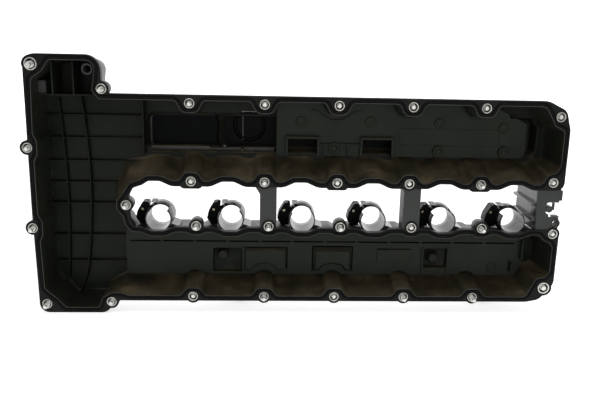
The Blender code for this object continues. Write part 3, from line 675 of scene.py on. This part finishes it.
def build_end_plate():
    bm = bmesh.new()
    plate = rounded([(438.5, 53, 0), (468, 53, 0), (468, 35, 1.5), (452, 35, 3), (452, 15.5, 3),
                     (469.5, 15.5, 1.5), (469.5, -3, 0), (440.5, -3, 0)])
    holes = HOLES + [circle(466.0, 7.5, 4.2, 24)]
    add_region(bm, [plate], holes + [RAIL] + DISCS, 1.6, 4.2)
    add_region(bm, [rect(466.5, 474.5, 36.0, 49.0)], [], 8.0, 14.0)
    add_region(bm, [rect(462.0, 470.0, 15.5, 16.7), rect(452.0, 456.0, 14.0, 19.0)], [RAIL], 2.0,
               12.0)
    add_region(bm, [rect(439.0, 469.0, 50.4, 53.0), rect(466.0, 468.0, 35.0, 53.0)], HOLES, 1.4,
               14.0)
    add_turned(bm, 466.0, 7.5, [(4.2, 16.0), (4.2, 1.2), (4.6, 0.8), (5.4, 0.8), (5.8, 1.2),
                                (5.8, 16.0)], 28)
    finish(bm, "end_plate", M_BRIDGE, bevel=0.4)
    bm = bmesh.new()
    add_rings(bm, [(rect(440.0, 443.0, -3.0, 57.0), 4.0), (rect(440.0, 443.0, -3.0, 74.0), 54.0),
                   (rect(440.0, 443.0, -3.0, 82.0), 76.0)], (True, True))
    for y in (31.0, 11.5):
        near = rounded([(434.5, y + 1.6, 1.0), (440.5, y + 2.2, 0), (440.5, y - 2.2, 0),
                        (434.5, y - 1.6, 1.0)])
        add_rings(bm, [(near, 4.0), (near, 75.0)], (True, True))
    finish(bm, "end_wall", M_WELL, bevel=0.3)


def arc_row(cx, cy, r, a0, a1, n):
    angles = [math.radians(a0 + (a1 - a0) * k / n) for k in range(n + 1)]
    return [(cx + r * math.cos(a), cy + r * math.sin(a)) for a in angles]


def build_wells():
    """Coil wells: open tube with a cut-back top, tab, screw ear, insert and web."""
    for k, m in enumerate(WELLS):
        bm = bmesh.new()
        add_turned(bm, m, WELL_Y, [(14.4, 29.0), (15.2, 29.0), (17.5, 34.0), (17.9, 45.4),
                                   (17.3, 46.2), (14.0, 46.2), (13.6, 45.4), (14.0, 36.0)], 56)
        profile = [(15.1, 9.9), (15.5, 9.6), (16.3, 9.6), (16.7, 10.1), (17.5, 34.2), (14.2, 34.2)]
        rows = [(arc_row(m, WELL_Y, r, 145.0, 405.0, 44), d) for r, d in profile]
        grid = [[bm.verts.new(world(x, y, d)) for x, y in line] for line, d in rows]
        for a, b in zip(grid, grid[1:] + grid[:1]):
            for i in range(44):
                bm.faces.new((a[i], a[i + 1], b[i + 1], b[i]))
        bm.faces.new([row[0] for row in grid])
        bm.faces.new([row[-1] for row in reversed(grid)])
        tab = round_rect(m - 12.6, m - 5.4, 22.6, 24.4, 0.5)
        near = [(x, min(y, 22.75)) for x, y in tab]
        add_rings(bm, [(near, 31.0), (tab, 46.0)], (True, True))
        rib = [(m + 15.0, 1.0), (m + 26.0, -3.0), (m + 26.0, -7.0), (m + 14.0, -7.0)]
        add_rings(bm, [(rib, 10.0), (rib, 42.0)], (True, True))
        finish(bm, "coil_well_%d" % (k + 1), M_WELL, sharp=50.0)
        bm = bmesh.new()
        ear = rounded([(m - 31.5, 3, 2), (m - 29.5, 12, 3), (m - 22.5, 24, 3), (m - 14.5, 24, 2),
                       (m - 16.0, 8, 3), (m - 16.0, -5, 0), (m - 26.5, -5, 2)])
        add_region(bm, [ear], [circle(m - 23.0, 14.0, 3.2, 24)], 31.0, 45.5)
        add_region(bm, [ear], [circle(m - 23.0, 14.0, 1.7, 20)], 29.0, 31.0)
        # Coil ear in the near-black material: painted shade under the ear
        finish(bm, "coil_ear_%d" % (k + 1), M_SHADE_NYLON, bevel=0.5)
        bm = bmesh.new()
        add_turned(bm, m - 23.0, 14.0, [(0.7, 31.9), (1.0, 31.5), (2.7, 31.5), (3.0, 31.9),
                                        (3.0, 36.0), (2.6, 36.6), (3.0, 37.2), (3.0, 45.4),
                                        (2.7, 45.8), (1.0, 45.8), (0.7, 45.4)], 24)
        insert = finish(bm, "coil_insert_%d" % (k + 1), M_BRASS)
        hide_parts("coil_screw_insert_%d" % (k + 1))


def build_outside():
    """Roof ribs, sockets and feet on the outer side."""
    bm = bmesh.new()
    for k in range(6):
        x = -16.0 + 78.0 * k + (8.0 if k > 2 else 0.0)
        add_box(bm, x - 1.1, x + 1.1, 86.0, 136.0, 75.0, 78.0)
    for k in range(6):
        x = -45.0 + 91.0 * k
        add_box(bm, x - 1.1, x + 1.1, -68.0, -18.0, 54.0, 57.5)
    for k in range(3):
        y = 130.0 - 84.0 * k
        add_box(bm, -176.0, -100.0, y - 1.1, y + 1.1, 54.0, 57.5)
    for x, wall in ((-158.0, -107.0), (60.0, -89.0), (392.0, -89.0)):
        half = 5.0 + 3.0 * (wall + 116.2) / 50.2
        low = rounded([(x - half, wall, 0), (x + half, wall, 0), (x + 5, -116.2, 1.5),
                       (x - 5, -116.2, 1.5)])
        add_rings(bm, [(low, 44.0), (low, 66.0)], (True, True))
        high = [(x - 8, -66), (x + 8, -66), (x + half, wall), (x - half, wall)]
        add_rings(bm, [(high, 54.9), (high, 66.0)], (True, True))
    finish(bm, "outer_ribs", M_OUT, bevel=0.4)
    bm = bmesh.new()
    x, y = LID
    add_turned(bm, x, y, [(16.0, 76.0), (20.0, 76.0), (20.0, 81.2), (19.4, 82.0), (16.0, 82.0)], 48)
    x, y = OUTLET
    add_turned(bm, x, y, [(8.2, 75.9), (14.0, 75.9), (14.0, 83.2), (13.2, 84.0), (8.2, 84.0)], 40)
    finish(bm, "roof_sockets", M_OUT)


# ---------------------------------------------------- gasket, bolts, sleeves
def build_gasket():
    bm = bmesh.new()
    prof = [(1.6, 2.7), (1.6, 0.6), (1.9, 0.0), (2.5, -0.35), (2.9, -0.85), (3.7, -0.85),
            (4.1, -0.35), (4.7, 0.0), (5.0, 0.6), (5.0, 2.7)]
    add_loop(bm, [(offset(LIP, o), d) for o, d in prof])
    obj = finish(bm, "gasket_loop", M_RUBBER, sharp=50.0, tidy=False)
    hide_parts("sealing_gasket")


def build_sleeves():
    """Pressed steel sleeve and rubber grommet in every boss."""
    bm = bmesh.new()
    gm = bmesh.new()
    for x, y, _, large in BOLTS:
        o, i = (7.7, 6.1) if large else (6.2, 5.0)
        add_turned(bm, x, y, [(i, 0.5), (i + 0.35, 0.0), (o - 0.35, 0.0), (o, 0.4),
                              (o, BOSS_D - 0.2), (i, BOSS_D - 0.2)], 40)
        add_turned(gm, x, y, [(o + 0.03, 0.9), (o + 0.4, 0.75), (8.05 if large else 6.5, 0.9),
                              (8.05 if large else 6.5, 6.0), (o + 0.03, 6.0)], 36)
    finish(bm, "bolt_sleeves", M_STEEL)
    finish(gm, "bolt_grommets", M_RUBBER)
    bm = bmesh.new()
    for x, y, _, large in BOLTS:
        i = 5.45 if large else 4.4
        r = 5.1 if large else 4.15
        add_turned(bm, x, y, [(r + 0.05, 3.0), (i, 2.2), (i, 15.0), (r + 0.05, 14.6)], 28)
    finish(bm, "bolt_retainers", M_RUBBER)


def bolt_mesh(large):
    """Flange bolt about the origin, tip at depth 0, rolled thread."""
    r = 4.0 if large else 3.3
    head = 30.3
    bm = bmesh.new()
    n = 28
    prof = [(0.0, 0.0), (r - 1.25, 0.0), (r - 0.95, 0.25), (r - 0.9, 1.6), (r - 0.45, 2.3)]
    d = 2.6
    while d < 13.0:
        prof += [(r - 0.5, d), (r, d + 0.35), (r, d + 0.55), (r - 0.5, d + 0.9)]
        d += 1.0
    prof += [(r - 0.2, d + 0.3), (r - 0.2, head - 1.0), (r, head - 0.4), (r, head)]
    flange = 9.0 if large else 7.3
    prof += [(flange - 0.3, head), (flange, head + 0.4), (flange - 0.2, head + 1.2)]
    rows = []
    for rr, dd in prof:
        if rr < 1e-6:
            rows.append([bm.verts.new((0, dd * MM, 0))])
        else:
            rows.append([bm.verts.new((rr * MM * math.cos(2 * math.pi * i / n), dd * MM,
                                       rr * MM * math.sin(2 * math.pi * i / n))) for i in range(n)])
    hexa = 6.9 if large else 5.8
    def hex_row(size, dd):
        row = []
        for i in range(n):
            a = 2 * math.pi * i / n
            b = (a % (math.pi / 3)) - math.pi / 6
            q = size * math.cos(math.pi / 6) / math.cos(b)
            row.append(bm.verts.new((q * MM * math.cos(a), dd * MM, q * MM * math.sin(a))))
        return row
    rows.append(hex_row(hexa, head + 1.9))
    rows.append(hex_row(hexa, head + 6.5))
    rows.append(hex_row(hexa - 0.55, head + 6.98))
    rows.append(hex_row(hexa - 2.2, head + 6.98))
    rows.append([bm.verts.new((0, (head + 6.3) * MM, 0))])
    for a, b in zip(rows, rows[1:]):
        for i in range(n):
            j = (i + 1) % n
            if len(a) == 1:
                bm.faces.new((a[0], b[i], b[j]))
            elif len(b) == 1:
                bm.faces.new((a[i], a[j], b[0]))
            else:
                bm.faces.new((a[i], a[j], b[j], b[i]))
    bmesh.ops.recalc_face_normals(bm, faces=bm.faces)
    for e in bm.edges:
        if len(e.link_faces) == 2 and e.calc_face_angle(0.0) > math.radians(35):
            e.smooth = False
    for f in bm.faces:
        f.smooth = True
    mesh = bpy.data.meshes.new("captive_bolt_large" if large else "captive_bolt")
    bm.to_mesh(mesh)
    bm.free()
    mesh.materials.append(M_ZINC)
    return mesh


def build_bolts():
    meshes = {False: bolt_mesh(False), True: bolt_mesh(True)}
    for i, (x, y, out, large) in enumerate(BOLTS):
        name = "bolt_%02d" % (i + 1)
        obj = bpy.data.objects.new("captive_" + name, meshes[large])
        bpy.context.scene.collection.objects.link(obj)
        tilt = DROOP if out > 3.0 else 0.0
        at = world(x, y - (DROOP_PIVOT_D + out) * tilt, -out + 4.0 * tilt)
        droop = Matrix.Rotation(tilt, 4, "X")
        spin = Matrix.Rotation(i * math.pi / 2.0, 4, "Y")
        obj.matrix_world = Matrix.Translation(at) @ droop @ spin
        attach(obj, name + "_body")
        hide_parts(name)


# ------------------------------------------------------------------ baffles
def raised(bm, line, d_top, d_base, soft=0.6):
    add_rings(bm, [(offset(line, -soft), d_top), (line, d_top + soft), (line, d_base)],
              (True, False))


def build_upper_baffle():
    edge = [(106.2, 146.5), (109.8, 151.9)]
    edge += [p for p in wall_at(40.0, -0.9) if 110.0 < p[0] < 428.0 and p[1] > 125.0]
    edge += [(431.5, 130.0), (431.5, 90.0), (424.0, 84.5), (106.2, 84.5)]
    windows = [rect(121.0, 158.5, 80.0, 107.0), rect(217.0, 254.5, 80.0, 107.0)]
    bm = bmesh.new()
    recess = rounded([(404.0, 153.0, 0), (426.0, 153.0, 0), (426.0, 138.0, 4), (408.0, 136.5, 4)])
    add_region(bm, [edge], windows + [recess], 40.0, 42.4)
    body = finish(bm, "baffle_upper_plate", M_BAFFLE, bevel=0.3)
    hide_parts("separator_baffle_upper")
    bm = bmesh.new()
    for x, y in ((137.5, 128), (227, 129), (316.5, 128.5), (401, 124)):
        add_turned(bm, x, y, [(0, 39.0), (3.4, 39.0), (3.9, 38.6), (4.2, 37.7), (6.2, 37.7),
                              (6.9, 38.3), (7.3, 40.3), (0, 40.3)], 40)
    for x, y in ((180.5, 95.0), (316.5, 92.5), (403, 92.5)):
        add_turned(bm, x, y, [(0, 38.0), (3.0, 38.0), (4.0, 37.2), (4.8, 36.2), (6.6, 36.2),
                              (7.4, 36.9), (7.8, 40.3), (0, 40.3)], 40)
    finish(bm, "baffle_upper_studs", M_BAFFLE)
    bm = bmesh.new()
    for x0 in (118.0, 214.0):
        frame_line = rect(x0, x0 + 43.5, 84.5, 110.0)
        add_region(bm, [frame_line], [rect(x0 + 3.0, x0 + 40.5, 80.0, 107.0)], 35.0, 41.0)
    add_region(bm, [rect(161.5, 214.0, 99.5, 101.0), rect(197.0, 198.6, 84.5, 101.0),
                    rect(166.0, 167.6, 84.5, 101.0)], [], 37.0, 41.0)
    finish(bm, "baffle_upper_frames", M_BAFFLE, bevel=0.35)
    bm = bmesh.new()
    arch = [(150.0, 142.0), (158.0, 142.0), (166.0, 135.5), (174.0, 131.2), (182.0, 130.0),
            (190.0, 131.2), (198.0, 135.5), (206.0, 142.0), (214.0, 142.0)]
    band = arch + [(x, y + 1.5) for x, y in reversed(arch)]
    add_region(bm, [band[::-1]], [], 38.2, 41.0)
    for x in (91.0 * 3, 91.0 * 4):
        skirt = [(x - 20, 152.0), (x - 13, 140.0), (x - 7.5, 136.2), (x, 135.2), (x + 7.5, 136.2),
                 (x + 13, 140.0), (x + 20, 152.0)]
        low = [(a, b - 1.2) for a, b in skirt]
        add_region(bm, [low + skirt[::-1]], [], 39.0, 41.0)
    lid = round_rect(264.0, 396.0, 100.0, 122.0, 2.0)
    add_region(bm, [lid], [offset(lid, -1.0)], 39.55, 40.5)
    finish(bm, "baffle_upper_steps", M_BAFFLE, bevel=0.25)


def build_lower_baffle():
    edge = [(-89.0, -15.5), (436.0, -15.5), (440.0, -26.0), (440.0, -62.0), (432.0, -76.5)]
    for k in range(4, -1, -1):
        x = 1.2 + PITCH * k
        arc = [(x + 14.5 * math.cos(a), -85.0 + 14.2 * math.sin(a))
               for a in [math.radians(38 + 104 * i / 14.0) for i in range(15)]]
        edge += arc
    edge += [(-89.0, -76.5)]
    edge = [(x, max(y, -76.5)) for x, y in edge]
    slots = []
    for k in range(12):
        x = -84.0 + 43.0 * k
        if x + 38.0 < 430.0:
            slots.append(rect(x, x + 39.5, -31.8, -30.0))
    bays = [round_rect(24.5, 62.5, -73.0, -40.0, 2.5), round_rect(306.5, 337.5, -66.0, -39.0, 2.5)]
    # Thin slots along the tops and sides of the raised boxes and hood: dark gaps that stand in for
    # their shadow lines (painted shadow)
    shadow_slots = [rect(67.0, 121.5, -40.2, -38.6), rect(121.5, 123.0, -69.0, -38.6),
             rect(157.5, 209.0, -38.6, -36.6), rect(155.8, 157.5, -72.0, -36.6),
             rect(209.0, 210.4, -72.0, -36.6), rect(243.0, 289.0, -40.8, -39.6)]
    bm = bmesh.new()
    add_region(bm, [edge], slots + bays + shadow_slots, 38.0, 40.4)
    plate = finish(bm, "baffle_lower_plate", M_BAFFLE, bevel=0.3)
    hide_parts("separator_baffle_lower")
    bm = bmesh.new()
    for line in bays:
        add_rings(bm, [(line, 38.3), (offset(line, -0.4), 44.0), (offset(line, -1.4), 45.0)],
                  (False, True))
    finish(bm, "baffle_lower_recesses", M_CASE, sharp=60.0)
    bm = bmesh.new()
    box_line = [(66.5, -41.5), (120.5, -41.5), (121.5, -69.0), (109.0, -71.0), (104.0, -63.5),
                (92.0, -60.5), (80.0, -63.5), (74.0, -71.0), (66.5, -70.0)]
    raised(bm, box_line, 35.2, 38.5, 1.6)
    hood = [(158.0, -40.0), (208.5, -40.0), (208.5, -71.0), (201.0, -71.0), (195.0, -64.0),
            (183.0, -61.0), (171.0, -64.0), (164.0, -71.0), (158.0, -71.0)]
    raised(bm, hood, 34.0, 38.5, 3.2)
    raised(bm, round_rect(243.0, 289.0, -58.5, -41.0, 1.0), 36.6, 38.5, 0.5)
    finish(bm, "baffle_lower_hoods", M_BAFFLE)
    bm = bmesh.new()
    for x, y, r in ((37.5, -50.0, 6.5), (319.5, -53.0, 6.5)):
        add_turned(bm, x, y, [(0, 36.8), (r - 1.6, 36.8), (r - 0.5, 37.5), (r, 38.8), (r, 45.2),
                              (0, 45.2)], 36)
    add_turned(bm, 400.0, -64.5, [(0, 38.6), (4.0, 38.6), (4.6, 38.0), (5.0, 36.9), (6.3, 36.9),
                                  (6.9, 37.6), (7.2, 39.0), (0, 39.0)], 36)
    finish(bm, "baffle_lower_studs", M_BAFFLE)
    bm = bmesh.new()
    for x0, x1 in ((62.8, 65.2), (337.8, 340.5), (303.2, 306.0)):
        add_box(bm, x0, x1, -74.0, -38.0, 36.3, 38.5)
    add_box(bm, 436.5, 438.3, -52.0, -24.0, 29.0, 39.0)
    add_box(bm, 424.0, 425.6, -70.0, -56.0, 30.0, 39.0)
    finish(bm, "baffle_lower_fins", M_BAFFLE, bevel=0.3)


# --------------------------------------------------------------- outer trim
def build_trim():
    x, y = FILLER
    bm = bmesh.new()
    add_turned(bm, x, y, [(0, 76.0), (17.0, 76.0), (17.6, 75.4), (18.4, 74.2), (20.0, 74.2),
                          (20.8, 75.2), (20.9, 80.0), (20.2, 80.6), (20.2, 81.6), (20.9, 82.2),
                          (20.9, 90.3), (0, 90.3)], 72)
    # Cap plug in the near-black material: painted shade inside the filler neck
    plug = finish(bm, "cap_plug", M_SHADE_NYLON, "filler_cap")
    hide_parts("filler_cap_plug")
    bm = bmesh.new()
    add_turned(bm, x, y, [(0, 90.6), (28.6, 90.6), (29.4, 91.4), (29.5, 96.0), (28.6, 97.8),
                          (26.4, 98.5), (0, 98.5)], 72)
    grip = rounded([(x - 24.0, y + 2.4, 1), (x - 20.0, y + 3.2, 2), (x + 20.0, y + 3.2, 2),
                    (x + 24.0, y + 2.4, 1), (x + 24.0, y - 2.4, 1), (x + 20.0, y - 3.2, 2),
                    (x - 20.0, y - 3.2, 2), (x - 24.0, y - 2.4, 1)])
    add_rings(bm, [(grip, 98.3), (grip, 102.8), (offset(grip, -0.9), 103.98)], (True, True))
    for k in range(24):
        a = math.pi * k / 12.0
        cx, cy = x + 29.1 * math.cos(a), y + 29.1 * math.sin(a)
        ux, uy, vx, vy = math.cos(a), math.sin(a), -math.sin(a), math.cos(a)
        quad = [(cx + ux * 0.35 * p + vx * 1.2 * q, cy + uy * 0.35 * p + vy * 1.2 * q)
                for p, q in ((-2, 1), (1, 1), (1, -1), (-2, -1))]
        add_rings(bm, [(quad, 91.6), (quad, 96.0)], (True, True))
    cap = finish(bm, "filler_cap", M_CAP, "filler_cap")
    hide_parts("oil_filler_cap")
    bm = bmesh.new()
    add_turned(bm, x, y, [(22.7, 88.6), (23.2, 88.32), (25.2, 88.32), (25.7, 88.8), (25.7, 89.8),
                          (25.2, 90.28), (23.2, 90.28), (22.7, 89.9)], 64)
    seal = finish(bm, "cap_seal_ring", M_RUBBER, "filler_lift")
    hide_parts("filler_cap_seal")
    x, y = LID
    bm = bmesh.new()
    add_turned(bm, x, y, [(0, 79.0), (15.4, 79.0), (15.4, 82.3), (19.6, 82.3), (20.0, 82.7),
                          (20.0, 84.4), (19.2, 85.6), (17.6, 86.35), (15.0, 86.4), (14.2, 85.6),
                          (8.0, 85.6), (7.2, 86.3), (0, 86.3)], 56)
    lid = finish(bm, "valve_lid", M_TRIM)
    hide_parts("vent_valve_lid")
    x, y = OUTLET
    bm = bmesh.new()
    add_turned(bm, x, y, [(5.6, 74.5), (7.8, 74.5), (7.8, 84.4), (11.4, 84.4), (12.0, 85.0),
                          (12.0, 86.4), (11.4, 87.0), (8.6, 87.0), (8.0, 87.8), (8.0, 96.4),
                          (8.9, 98.6), (9.0, 100.0), (7.6, 102.45), (5.6, 102.45)], 48)
    outlet = finish(bm, "vent_outlet", M_TRIM)
    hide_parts("breather_outlet")
    nodes = frame["nodes"]
    for name, mat in (("cable_duct", M_TRIM), ("cable_duct_lid", M_TRIM),
                      ("harness_clip", M_CLIP)):
        nodes[name].data.materials.clear()
        nodes[name].data.materials.append(mat)
        mod = nodes[name].modifiers.new("edge", "BEVEL")
        mod.width = 0.0004
        mod.segments = 2
        mod.limit_method = "ANGLE"


# -------------------------------------------------------------------- stage
def stage_sheet(name, corners, strength):
    """One large matt white sheet of the sweep, with a faint glow of its own."""
    bm = bmesh.new()
    bm.faces.new([bm.verts.new(c) for c in corners])
    bmesh.ops.subdivide_edges(bm, edges=bm.edges, cuts=3, use_grid_fill=True)
    mesh = bpy.data.meshes.new(name)
    bm.to_mesh(mesh)
    bm.free()
    sheet = bpy.data.objects.new(name, mesh)
    bpy.context.scene.collection.objects.link(sheet)
    mat, tree, bsdf, vec = start_material(name + "_paper")
    tone = ramp(tree, noise_tex(tree, vec, 3.0), ((0.3, (0.93, 0.93, 0.93)), (0.7, (0.95, 0.95, 0.95))))
    tree.links.new(tone, bsdf.inputs["Base Color"])
    tree.links.new(tone, bsdf.inputs["Emission Color"])
    bsdf.inputs["Emission Strength"].default_value = strength
    bsdf.inputs["Roughness"].default_value = 0.9
    bsdf.inputs["Specular IOR Level"].default_value = 0.0
    mesh.materials.append(mat)


def build_stage():
    z = -0.0004
    stage_sheet("floor", [(-4, -2.2, z), (4, -2.2, z), (4, 1.6, z), (-4, 1.6, z)], 0.72)
    stage_sheet("backdrop", [(-4, 1.6, z), (4, 1.6, z), (4, 2.4, 3.5), (-4, 2.4, 3.5)], 1.1)

    scene = bpy.context.scene
    sky = bpy.data.worlds.new("studio")
    sky.use_nodes = True
    sky.node_tree.nodes["Background"].inputs["Color"].default_value = (1.0, 1.0, 1.0, 1.0)
    sky.node_tree.nodes["Background"].inputs["Strength"].default_value = 0.12
    scene.world = sky
    scene.view_settings.view_transform = "Standard"
    for name, place, size, power in (("key", (-0.9, -0.9, 1.8), 0.9, 3.5),
                                     ("top", (0.5, -0.3, 2.0), 1.0, 9.0),
                                     ("front", (0.1, -2.0, 0.9), 1.6, 9.0)):
        data = bpy.data.lights.new(name, "AREA")
        data.size = size
        data.energy = power
        lamp = bpy.data.objects.new(name, data)
        lamp.location = place
        aim = Vector((0.0, 0.0, 0.16)) - Vector(place)
        lamp.rotation_euler = aim.to_track_quat("-Z", "Y").to_euler()
        scene.collection.objects.link(lamp)

    rx, ry, rz = math.radians(13.49), math.radians(2.88), math.radians(-1.29)
    turn = Matrix.Rotation(rz, 3, "Z") @ Matrix.Rotation(rx, 3, "X") @ Matrix.Rotation(ry, 3, "Y")
    to_world = Matrix(((1, 0, 0), (0, 0, -1), (0, 1, 0)))
    axes = to_world @ turn.transposed()
    cam_data = bpy.data.cameras.new("camera")
    cam_data.sensor_width = 36.0
    cam_data.lens = 41.4
    cam = bpy.data.objects.new("camera", cam_data)
    cam.matrix_world = Matrix.Translation(world(93.93, 236.87, -839.53)) @ axes.to_4x4()
    scene.collection.objects.link(cam)
    scene.camera = cam


shell = build_rail()
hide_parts("cover_shell")
build_walls()
build_case_ribs()
build_upper_details()
build_bridges()
build_end_plate()
build_wells()
build_outside()
build_gasket()
build_sleeves()
build_bolts()
build_upper_baffle()
build_lower_baffle()
build_trim()
build_stage()
